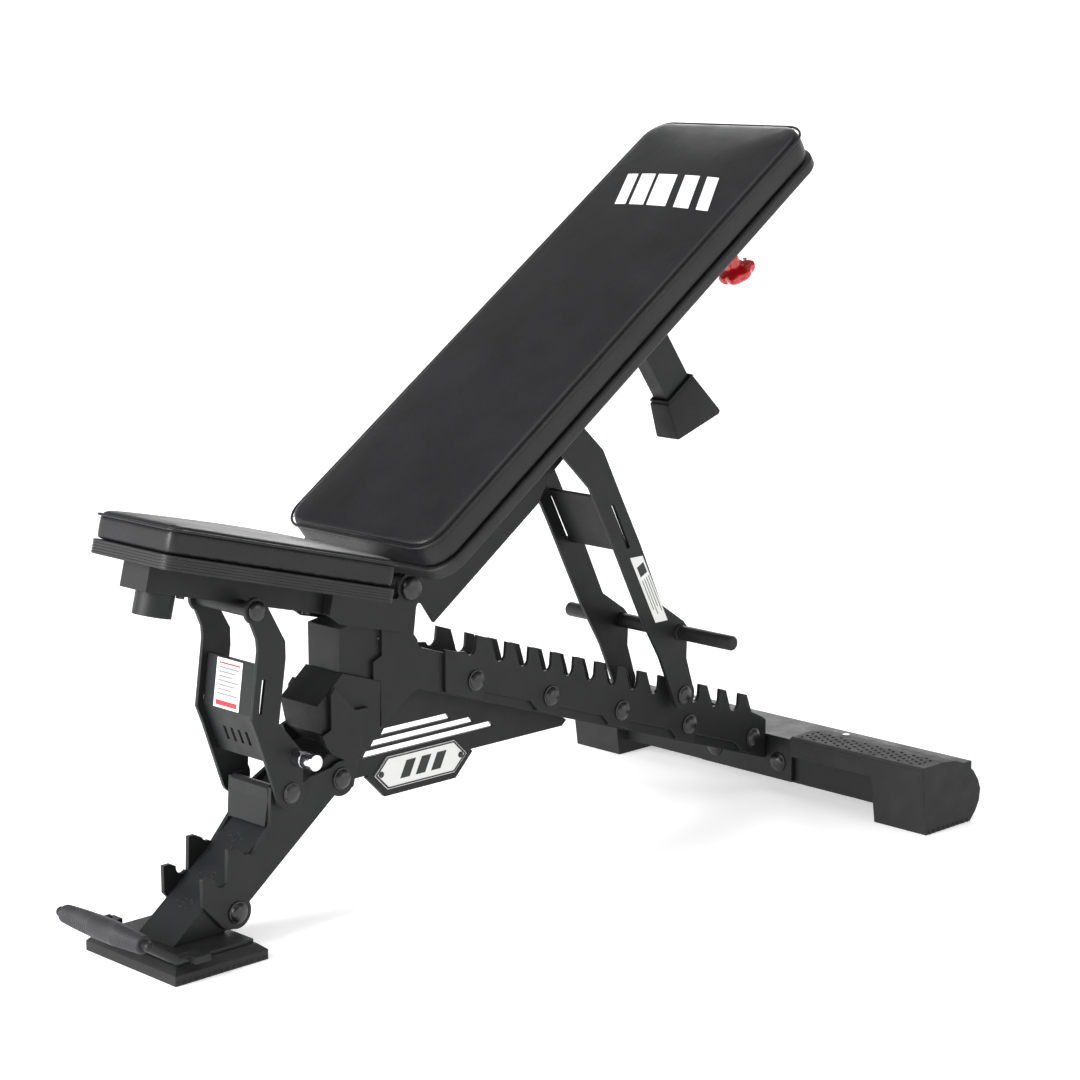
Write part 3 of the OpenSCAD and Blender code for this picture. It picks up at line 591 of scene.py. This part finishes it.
def outline_path(outline, inset, height, place):
    return [place @ Vector((p.x - n.x * inset, p.y - n.y * inset, height))
            for p, n in outline]


def resample(path, spacing):
    """Points at equal distances round a closed path, with their directions."""
    out, carry = [], 0.0
    for i, p in enumerate(path):
        q = path[(i + 1) % len(path)]
        gap = (q - p).length
        while carry < gap:
            out.append((p.lerp(q, carry / gap), (q - p).normalized()))
            carry += spacing
        carry -= gap
    return out


def make_piping(name, outline, inset, height, place, body, radius):
    path = outline_path(outline, inset, height, place)
    mesh = join_meshes(name, [tube(path, radius, 10)])
    return finish_piece(new_object(name, mesh, PIPING), body, "pad_cover")


def make_stitches(name, outline, inset, height, place, body):
    parts = []
    for at, along in resample(outline_path(outline, inset, height, place), 0.0052):
        ends = [at - along * 0.0015, at - along * 0.0008, at + along * 0.0008,
                at + along * 0.0015]
        widths = (0.35, 1.0, 1.0, 0.35)
        parts.append(tube(ends, 0.00042, 5, False, lambda i: widths[i]))
    mesh = join_meshes(name, parts)
    return finish_piece(new_object(name, mesh, THREAD), body, "pad_cover")


def make_pads():
    top_back, top_seat = 0.093, 0.0365
    cushion = make_cushion("back_cushion_skin", BACK_OUTLINE, BACK, 0.0528, top_back,
                           BACK_CENTRE, "back", "back_cushion", 0.0022, 0.005)
    make_pad_mark(cushion)
    make_cushion("seat_cushion_skin", SEAT_OUTLINE, SEAT, 0.0020, top_seat,
                 SEAT_CENTRE, "seat", "seat_cushion", 0.0018, 0.0045)
    make_piping("back_piping", BACK_OUTLINE, 0.0016, top_back - 0.0062, BACK, "back", 0.0017)
    make_piping("seat_piping", SEAT_OUTLINE, 0.0016, top_seat - 0.0062, SEAT, "seat", 0.0016)
    make_stitches("back_stitches", BACK_OUTLINE, 0.0012, top_back - 0.0100, BACK, "back")
    make_stitches("seat_stitches", SEAT_OUTLINE, 0.0012, top_seat - 0.0100, SEAT, "seat")

    board = [(0.004, 0.0360), (0.0012, 0.0364), (0.0002, 0.0376), (0.0, 0.0400),
             (0.0, 0.0480), (0.0004, 0.0500), (0.0016, 0.0512), (0.005, 0.0516)]
    verts, faces = ring_form(BACK_OUTLINE, board, [0.3], lambda t: 0.0, BACK_CENTRE)
    made = new_object("back_board_cover", mesh_from("back_board_cover", verts, faces), SHELL,
                      BACK)
    finish_piece(made, "back", "pad_board", "back_board")

    band = [(0.004, -0.0155), (0.0006, -0.0152)]
    ribs = 5
    pitch = 0.0165 / ribs
    for i in range(ribs * 6 + 1):
        t = i / 6
        groove = max(0.0, 1 - abs(t - round(t)) / 0.18)
        band.append((0.0002 + 0.0011 * groove, -0.0148 + pitch * t))
    band.append((0.005, 0.0019))
    verts, faces = ring_form(SEAT_OUTLINE, band, [0.3], lambda t: 0.0, SEAT_CENTRE)
    made = new_object("seat_ribbed_band", mesh_from("seat_ribbed_band", verts, faces), SHELL,
                      SEAT)
    finish_piece(made, "seat", "pad_board", "seat_band")


# ---- hard parts shaped more finely than their solids ----

def y_axis_at(x, z):
    """Places a lathe's axis along +Y through (x, z)."""
    return Matrix.Translation((x, 0, z)) @ Matrix.Rotation(math.radians(-90), 4, "X")


def make_knob():
    """Lobed knob from (radius, height, share of the lobes' depth) points."""
    profile = [(0.001, -0.0140, 0), (0.008, -0.0138, 0), (0.015, -0.0126, 0.15),
               (0.0205, -0.0100, 0.5), (0.0250, -0.0064, 0.9), (0.0274, -0.0022, 1.0),
               (0.0278, 0.0015, 1.0), (0.0262, 0.0048, 0.9), (0.0222, 0.0070, 0.5),
               (0.0165, 0.0082, 0.15), (0.0125, 0.0100, 0), (0.0108, 0.0140, 0),
               (0.0104, 0.0225, 0), (0.0096, 0.0240, 0), (0.0060, 0.0240, 0)]
    place = BACK @ Matrix.Translation((0.722, 0, -0.084))
    lobes, lobe_depth, count = 7, 0.13, 84
    verts = []
    for r, h, share in profile:
        for k in range(count):
            a = math.tau * k / count
            dip = 0.5 - 0.5 * math.cos(lobes * a)
            reach = r * (1 - lobe_depth * share * dip ** 2)
            verts.append(place @ Vector((reach * math.cos(a), reach * math.sin(a), h)))
    mesh = mesh_from("knob_grip", verts, turned_faces(len(profile), count))
    made = new_object("knob_grip", mesh, RED)
    sub = made.modifiers.new("sub", "SUBSURF")
    sub.levels = sub.render_levels = 1
    finish_piece(made, "pull_pin", "red_knob", "pull_knob")


def rod_profile(start, end, r, edge=0.0012):
    return [(r * 0.5, start), (r - edge, start), (r - edge * 0.3, start + edge * 0.3),
            (r, start + edge), (r, end - edge), (r - edge * 0.3, end - edge * 0.3),
            (r - edge, end), (r * 0.5, end)]


def make_rods():
    place = y_axis_at(-0.361, 0.223)
    right = rod_profile(-0.092, -0.050, 0.0100)
    right[4:4] = [(0.0100, -0.0725), (0.0094, -0.0721), (0.0094, -0.0713), (0.0100, -0.0709)]
    left = [(r, -h) for r, h in reversed(right)]
    mesh = join_meshes("seat_grips", [lathe(right, place), lathe(left, place)])
    made = add_smooth_edges(new_object("seat_grips", mesh, CHROME))
    finish_piece(made, "seat_strut", "chrome_rod", "seat_strut_rod")

    place = y_axis_at(0.303, 0.268)
    profile = rod_profile(-0.154, 0.154, 0.0100, 0.0028)
    for at in (-0.0608, 0.0572):
        spot = [i for i, (r, h) in enumerate(profile) if h > at][0]
        profile[spot:spot] = [(0.0100, at), (0.0116, at + 0.0004), (0.0116, at + 0.0032),
                              (0.0100, at + 0.0036)]
    made = add_smooth_edges(new_object("bar_sleeve", join_meshes(
        "bar_sleeve", [lathe(profile, place)]), BAR))
    finish_piece(made, "back_strut", "bar_grip", "back_strut_bar")


def add_smooth_edges(made, angle=40):
    """Smooth shading with real edges kept, by splitting at sharp angles."""
    split = made.modifiers.new("split", "EDGE_SPLIT")
    split.split_angle = math.radians(angle)
    return made


def make_grip():
    half, pitch = 0.078, 0.0042
    profile = [(0.0065, -half), (0.0088, -half), (0.0104, -half + 0.0008),
               (0.0110, -half + 0.0022)]
    steps = int((2 * half - 0.006) / pitch * 6)
    for i in range(steps + 1):
        y = -half + 0.003 + (2 * half - 0.006) * i / steps
        swell = 0.0030 * (1 - (y / half) ** 2)
        patch = min(1.0, max(0.0, (abs(y + 0.006) - 0.022) / 0.003))
        rib = 0.0010 * abs(math.cos(math.pi * y / pitch)) ** 0.6
        profile.append((0.0100 + swell + rib * patch + 0.0012 * (1 - patch), y))
    profile += [(0.0110, half - 0.0022), (0.0104, half - 0.0008), (0.0088, half),
                (0.0065, half)]
    mesh = join_meshes("handle_grip_sleeve", [lathe(profile, y_axis_at(-0.604, 0.056))])
    finish_piece(new_object("handle_grip_sleeve", mesh, GRIP), "frame", "grip_rubber",
                 "handle_grip")


def hull_object(name, corners, material, place, bevel, segments=3):
    b = bmesh.new()
    for corner in corners:
        b.verts.new(corner)
    bmesh.ops.convex_hull(b, input=b.verts)
    bmesh.ops.dissolve_limit(b, angle_limit=math.radians(1), verts=b.verts, edges=b.edges)
    bmesh.ops.recalc_face_normals(b, faces=b.faces)
    mesh = bpy.data.meshes.new(name)
    b.to_mesh(mesh)
    b.free()
    made = new_object(name, mesh, material, place)
    return add_smooth_edges(add_bevel(made, bevel, segments, 25), 30)


def make_bumper():
    sides = [(0.497, -0.134, 0.0170), (0.560, -0.134, 0.0170), (0.571, -0.205, 0.0229),
             (0.566, -0.208, 0.0232), (0.484, -0.185, 0.0212), (0.486, -0.179, 0.0208)]
    corners = [(s, y * side, p) for s, p, y in sides for side in (-1, 1)]
    made = hull_object("bumper_block", corners, RUBBER, BACK, 0.0045)
    finish_piece(made, "back", "foot_rubber", "bumper_cap")
    reach, height = 0.0032, -0.1328
    ring = [Vector((0.530 + sx * (0.025 + reach), sy * (0.0125 + reach), height))
            for sx, sy in ((-1, -1), (1, -1), (1, 1), (-1, 1))]
    path = [BACK @ ring[i].lerp(ring[(i + 1) % 4], t / 6) for i in range(4) for t in range(6)]
    made = new_object("bumper_lip", join_meshes("bumper_lip", [tube(path, 0.0022, 8)]), RUBBER)
    finish_piece(made, "back", "foot_rubber")


LADDER_SLOPE = math.radians(18.3)
BEAM_LOW_Z = 216
FIRST_BOLT_U = -68
BOLT_PITCH = 140
NOTCH_R = 9
NOTCH_PITCH = 40.8


def on_beam(u, v):
    """Point (x, z) in mm on the beam: u along it from the post, v up from its lower face."""
    return (u * math.cos(LADDER_SLOPE) + v * math.sin(LADDER_SLOPE),
            BEAM_LOW_Z - u * math.sin(LADDER_SLOPE) + v * math.cos(LADDER_SLOPE))


def ladder_outline():
    """The toothed plate's side outline in mm, front lower corner first, clockwise."""
    def notch_low(x):
        return 273.6 - 0.3276 * x

    def tooth_top(x):
        return 301.3 - 0.329 * x

    def beam_low(x):
        return BEAM_LOW_Z - math.tan(LADDER_SLOPE) * x + 2.5

    def notch_arc(x, first, step):
        centre = notch_low(x) + NOTCH_R
        return [(x + NOTCH_R * math.cos(math.radians(a)),
                 centre + NOTCH_R * math.sin(math.radians(a))) for a in range(first, 361, step)]

    points = [(-108, beam_low(-108)), (-108, 309), (-88, 303), (-73.5, 301)]
    points += notch_arc(-65, 220, 20)
    points += [(-54, tooth_top(-54) + 0.2), (-52, tooth_top(-52))]
    for i in range(12):
        x = -14 + NOTCH_PITCH * i
        points.append((x - 16 - 0.6, tooth_top(x - 16)))
        points += notch_arc(x, 180, 15)
        points.append((x + 10.4, tooth_top(x + 10.4)))
    points += [(462, tooth_top(462)), (472, 123), (496, 111), (503, 106), (503, beam_low(503))]
    for i in reversed(range(4)):
        u = FIRST_BOLT_U + BOLT_PITCH * i
        for du, v in ((120, None), (120, 5), (104, 13), (18, 13), (18, None)):
            x, z = on_beam(u + du, 5 if v is None else v)
            points.append((x, beam_low(x)) if v is None else (x, z))
    return points


def make_ladder_plates():
    outline = [(x * MM, z * MM) for x, z in ladder_outline()]
    parts = [prism(outline, 0.035, 0.040), prism(outline, -0.040, -0.035)]
    made = new_object("ladder_plate_pair", join_meshes("ladder_plate_pair", parts), STEEL,
                      smooth=False)
    add_bevel(made, 0.0006, 2, 30)
    finish_piece(made, "frame", "black_steel", "ladder_plates", "ladder_teeth_left",
                 "ladder_teeth_right")


def make_washers():
    ring = [(0.0070, 0.0002), (0.0132, 0.0002), (0.0138, 0.0008), (0.0136, 0.0018),
            (0.0122, 0.0024), (0.0070, 0.0026)]
    groups = {"frame": [], "back_strut": [], "seat_strut": []}

    def pair(body, x, z, y_out, scale=1.0):
        for side in (-1, 1):
            turn = Matrix.Rotation(math.radians(-90 * side), 4, "X")
            place = Matrix.Translation((x * MM, side * y_out * MM, z * MM)) @ turn
            groups[body].append(lathe(ring, place @ Matrix.Scale(scale, 4), 28))

    for i in range(5):
        x, z = on_beam(FIRST_BOLT_U + BOLT_PITCH * i, 25)
        pair("frame", x, z, 40)
    pair("frame", -443, 47, 41)
    pair("frame", -281, 178, 41)
    for y in (-60, 60):
        place = Matrix.Translation((0.507, y * MM, 0.047)) @ Matrix.Rotation(
            math.radians(-90), 4, "Y")
        groups["frame"].append(lathe(ring, place, 28))
    pair("back_strut", 312.4, 179.25, 58, 0.92)
    pair("seat_strut", -370, 181, 55, 0.92)
    for body, parts in groups.items():
        made = new_object("cap_flanges_" + body, join_meshes("cap_flanges_" + body, parts),
                          BOLT)
        finish_piece(add_smooth_edges(made), body, "black_hardware")


def make_foot_details():
    """Anti-slip studs on top and treads under the edges of the rubber feet."""
    stud = [(0.0004, 0.0011), (0.0014, 0.0010), (0.0021, 0.0006), (0.0024, -0.0008)]
    for name, side in (("left", 1), ("right", -1)):
        parts = []
        for row in range(20):
            y = side * (0.112 + row * 0.0106)
            for col in range(4):
                x = 0.4975 + col * 0.0115 + (row % 2) * 0.00575
                if math.hypot(x - 0.557, abs(y) - 0.142) < 0.011 or x > 0.5345:
                    continue
                parts.append(lathe(stud, Matrix.Translation((x, y, 0.095)), 12))
        # The studs' darker rubber is painted shade of recessed dots.
        made = new_object("foot_studs_" + name, join_meshes("foot_studs_" + name, parts),
                          STUD_RUBBER_PAINTED_SHADE)
        finish_piece(made, "frame", "foot_rubber")
        parts = []
        for i in range(9):
            x = 0.5045 + 0.0105 * i
            ends = [Vector((x, side * y, 0.0026)) for y in (0.246, 0.27, 0.30, 0.3328)]
            parts.append(tube(ends, 0.0027, 10, False))
        made = new_object("foot_treads_" + name, join_meshes("foot_treads_" + name, parts),
                          RUBBER)
        finish_piece(add_smooth_edges(made), "frame", "foot_rubber")
    parts = []
    for i in range(15):
        x = -0.5655 + 0.0089 * i
        parts.append(tube([Vector((x, y, 0.0024)) for y in (-0.0886, -0.03, 0.03, 0.0886)],
                          0.0024, 8, False))
    made = new_object("front_foot_treads", join_meshes("front_foot_treads", parts), RUBBER)
    finish_piece(add_smooth_edges(made), "frame", "foot_rubber")


def weld(name, path, body, radius=0.0019):
    """A run of weld bead along a closed path, with the ripple that such a bead has."""
    fine = [p for p, _ in resample(path, 0.0016)]
    made = new_object(name, join_meshes(name, [tube(
        fine, radius, 8, True, lambda i: 0.86 + 0.22 * abs(math.sin(i * 0.95)))]), STEEL)
    finish_piece(made, body, "black_steel")


def rectangle(place, low, high, height):
    corners = [(low[0], low[1]), (high[0], low[1]), (high[0], high[1]), (low[0], high[1])]
    return [place @ Vector((x, y, height)) for x, y in corners]


def make_welds():
    weld("weld_bumper_post", rectangle(BACK, (0.505, -0.0125), (0.555, 0.0125), -0.0245),
         "back")
    place = SEAT @ Matrix.Translation((-0.352, 0, -0.0465))
    ring = [place @ Vector((0.0182 * math.cos(math.tau * k / 24),
                            0.0182 * math.sin(math.tau * k / 24), 0)) for k in range(24)]
    weld("weld_socket", ring, "seat")


# ---- marks ----

INK_DEPTH = 0.0002
SEGMENTS = {"0": "abcdef", "1": "bc", "3": "abgcd", "5": "afgcd", "-": "g"}
BLOCK_FACES = [(3, 2, 1, 0), (4, 5, 6, 7)] + [(i, (i + 1) % 4, (i + 1) % 4 + 4, i + 4)
                                              for i in range(4)]
STROKES = {"a": ((0, 2), (1, 2)), "b": ((1, 2), (1, 1)), "c": ((1, 1), (1, 0)),
           "d": ((0, 0), (1, 0)), "e": ((0, 0), (0, 1)), "f": ((0, 1), (0, 2)),
           "g": ((0, 1), (1, 1))}


def stroke_part(place, start, end, width, height):
    a, b = Vector(start), Vector(end)
    along = (b - a).normalized() * width * 0.5
    across = Vector((-along.y, along.x))
    a, b = a - along, b + along
    low = [a - across, b - across, b + across, a + across]
    verts = [place @ Vector((q.x, q.y, z)) for z in (-INK_DEPTH, height) for q in low]
    return verts, BLOCK_FACES


def make_position_marks():
    """Numbers beside the three seat positions, on the leg's sloping upper face."""
    slope = math.radians(38)
    up = Vector((math.cos(slope), 0, math.sin(slope)))
    right = Vector((0, -1, 0))
    out = right.cross(up)
    if out.z < 0:
        out = -out
    for label, x, word in (("low", -0.489, "-30"), ("middle", -0.455, "-15"),
                           ("flat", -0.409, "-0-")):
        z = 0.057 + (x + 0.493) * math.tan(slope)
        turn = Matrix((right, up, out)).transposed().to_4x4()
        place = Matrix.Translation(Vector((x, 0.0, z)) - right * 0.013) @ turn
        parts = []
        for k, letter in enumerate(word):
            origin = Vector((k * 0.0105 - 0.0035, -0.006))
            for seg in SEGMENTS[letter]:
                (x0, y0), (x1, y1) = STROKES[seg]
                parts.append(stroke_part(
                    place, origin + Vector((x0 * 0.0062, y0 * 0.0058)),
                    origin + Vector((x1 * 0.0062, y1 * 0.0058)), 0.0014, 0.00025))
        made = new_object("position_mark_" + label,
                          join_meshes("position_mark_" + label, parts), BLACK_INK,
                          smooth=False)
        finish_piece(made, "frame", "black_plastic")


def make_pad_mark(cushion):
    """Five slanted white bars printed across the upper end of the back pad."""
    inverse = BACK.inverted()
    surface = BVHTree.FromPolygons([inverse @ v.co for v in cushion.data.vertices],
                                   [p.vertices for p in cushion.data.polygons])

    def top(s, y):
        hit = surface.ray_cast(Vector((s, y, 0.2)), Vector((0, 0, -1)))[0]
        return hit.z

    parts = []
    cols, rows = 8, 10
    for y_start, wide in ((0.066, 0.020), (0.036, 0.026), (0.000, 0.034), (-0.044, 0.026),
                          (-0.080, 0.020)):
        verts, faces = [], []
        for lift in (-0.0006, 0.00035):
            for i in range(rows + 1):
                for j in range(cols + 1):
                    s = 0.633 + 0.066 * i / rows
                    y = y_start + 0.014 - 0.028 * (1 - i / rows) - wide * j / cols + wide / 2
                    verts.append(BACK @ Vector((s, y, top(s, y) + lift)))
        size = (rows + 1) * (cols + 1)
        for i in range(rows):
            for j in range(cols):
                a = i * (cols + 1) + j
                quad = (a, a + 1, a + cols + 2, a + cols + 1)
                faces.append(quad)
                faces.append(tuple(v + size for v in reversed(quad)))
        rim = list(range(cols))
        rim += [i * (cols + 1) + cols for i in range(rows)]
        rim += [rows * (cols + 1) + j for j in range(cols, 0, -1)]
        rim += [i * (cols + 1) for i in range(rows, 0, -1)]
        for a, b in zip(rim, rim[1:] + rim[:1]):
            faces.append((a, a + size, b + size, b))
        parts.append((verts, faces))
    made = new_object("back_pad_mark", join_meshes("back_pad_mark", parts), PRINT)
    finish_piece(add_smooth_edges(made, 60), "back", "pad_cover")


def label_lines(name, place, body, rows, material):
    """Bars of a label: rows of (left, low, right, high) on place's XY plane."""
    parts = []
    for left, low, right, high in rows:
        corners = [(left, low), (right, low), (right, high), (left, high)]
        verts = [place @ Vector((x, y, z)) for z in (-INK_DEPTH, INK_DEPTH) for x, y in corners]
        parts.append((verts, BLOCK_FACES))
    made = new_object(name, join_meshes(name, parts), material, smooth=False)
    finish_piece(made, body, "white_label")


def make_labels():
    lean = math.atan2(9, 61)
    up = Vector((math.sin(lean), 0, math.cos(lean)))
    right = Vector((0, -1, 0))
    out = right.cross(up).normalized()
    turn = Matrix((right, up, out)).transposed().to_4x4()
    face = Vector((-0.4125, 0, 0.3105)) + out * 0.0006
    place = Matrix.Translation(face - right * 0.006) @ turn
    label_lines("seat_label_red", place, "seat_strut",
                [(-0.020, -0.027, 0.020, -0.021), (-0.020, 0.0225, 0.020, 0.0245)], RED_INK)
    rows = [(-0.019, 0.017 - 0.0052 * i, 0.019 - 0.006 * (i % 3), 0.0192 - 0.0052 * i)
            for i in range(7)]
    label_lines("seat_label_lines", place, "seat_strut", rows, GREY_INK)

    along = Vector((0.4617, 0, -0.8870))
    cross = Vector((0.8870, 0, 0.4617))
    turn = Matrix((along, cross, along.cross(cross))).transposed().to_4x4()
    place = Matrix.Translation((0.2410, -0.0586, 0.3365)) @ turn
    sign = 1 if along.cross(cross).y < 0 else -1
    place = place @ Matrix.Scale(sign, 4, (0, 0, 1))
    rows = [(-0.018, 0.0065 - 0.0042 * i, 0.040 - 0.010 * (i % 2), 0.0079 - 0.0042 * i)
            for i in range(4)]
    label_lines("strut_label_lines", place, "back_strut", rows, GREY_INK)
    label_lines("strut_label_block", place, "back_strut",
                [(-0.040, -0.0060, -0.024, 0.0075)], BLACK_INK)


def make_plate_mark():
    """Dark rim and three slanted bars on the name plate."""
    x0, z0 = -0.119, 0.156

    def hexagon(w, h):
        return [(-w / 2, 0), (-w / 2 + h / 2, h / 2), (w / 2 - h / 2, h / 2), (w / 2, 0),
                (w / 2 - h / 2, -h / 2), (-w / 2 + h / 2, -h / 2)]

    outer, inner = hexagon(0.1535, 0.0405), hexagon(0.1465, 0.0365)
    verts = [Vector((x0 + x, y, z0 + z)) for y in (-0.0043, -0.0047)
             for ring in (outer, inner) for x, z in ring]
    faces = []
    for i in range(6):
        j = (i + 1) % 6
        faces += [(i, j, j + 6, i + 6), (i + 12, i + 18, j + 18, j + 12),
                  (i, i + 12, j + 12, j), (i + 6, j + 6, j + 18, i + 18)]
    parts = [(verts, faces)]
    for k in range(3):
        x = x0 - 0.036 + 0.026 * k
        corners = [(x, z0 - 0.011), (x + 0.016, z0 - 0.011), (x + 0.027, z0 + 0.011),
                   (x + 0.011, z0 + 0.011)]
        parts.append(prism(corners, -0.0047, -0.0043))
    made = new_object("name_plate_mark", join_meshes("name_plate_mark", parts), BLACK_INK,
                      smooth=False)
    finish_piece(made, "frame", "black_plastic")


# ---- the CAD parts' finishes ----

def finish_cad():
    finishes = {
        "foot_rubber": RUBBER, "black_hardware": BOLT, "black_steel": STEEL,
        "zinc_screw": ZINC, "chrome_rod": CHROME, "bar_grip": BAR, "grip_rubber": GRIP,
        "pad_cover": LEATHER, "pad_board": SHELL, "white_label": WHITE, "red_knob": RED,
        "black_plastic": PLASTIC,
    }
    for entry in frame["record"]["subparts"]:
        mesh = NODES[entry["node"]].data
        mesh.materials.clear()
        mesh.materials.append(finishes[entry["material_slot"]])


set_camera()
set_stage()
finish_cad()
make_pads()
make_knob()
make_rods()
make_grip()
make_bumper()
make_ladder_plates()
make_washers()
make_foot_details()
make_welds()
make_position_marks()
make_labels()
make_plate_mark()
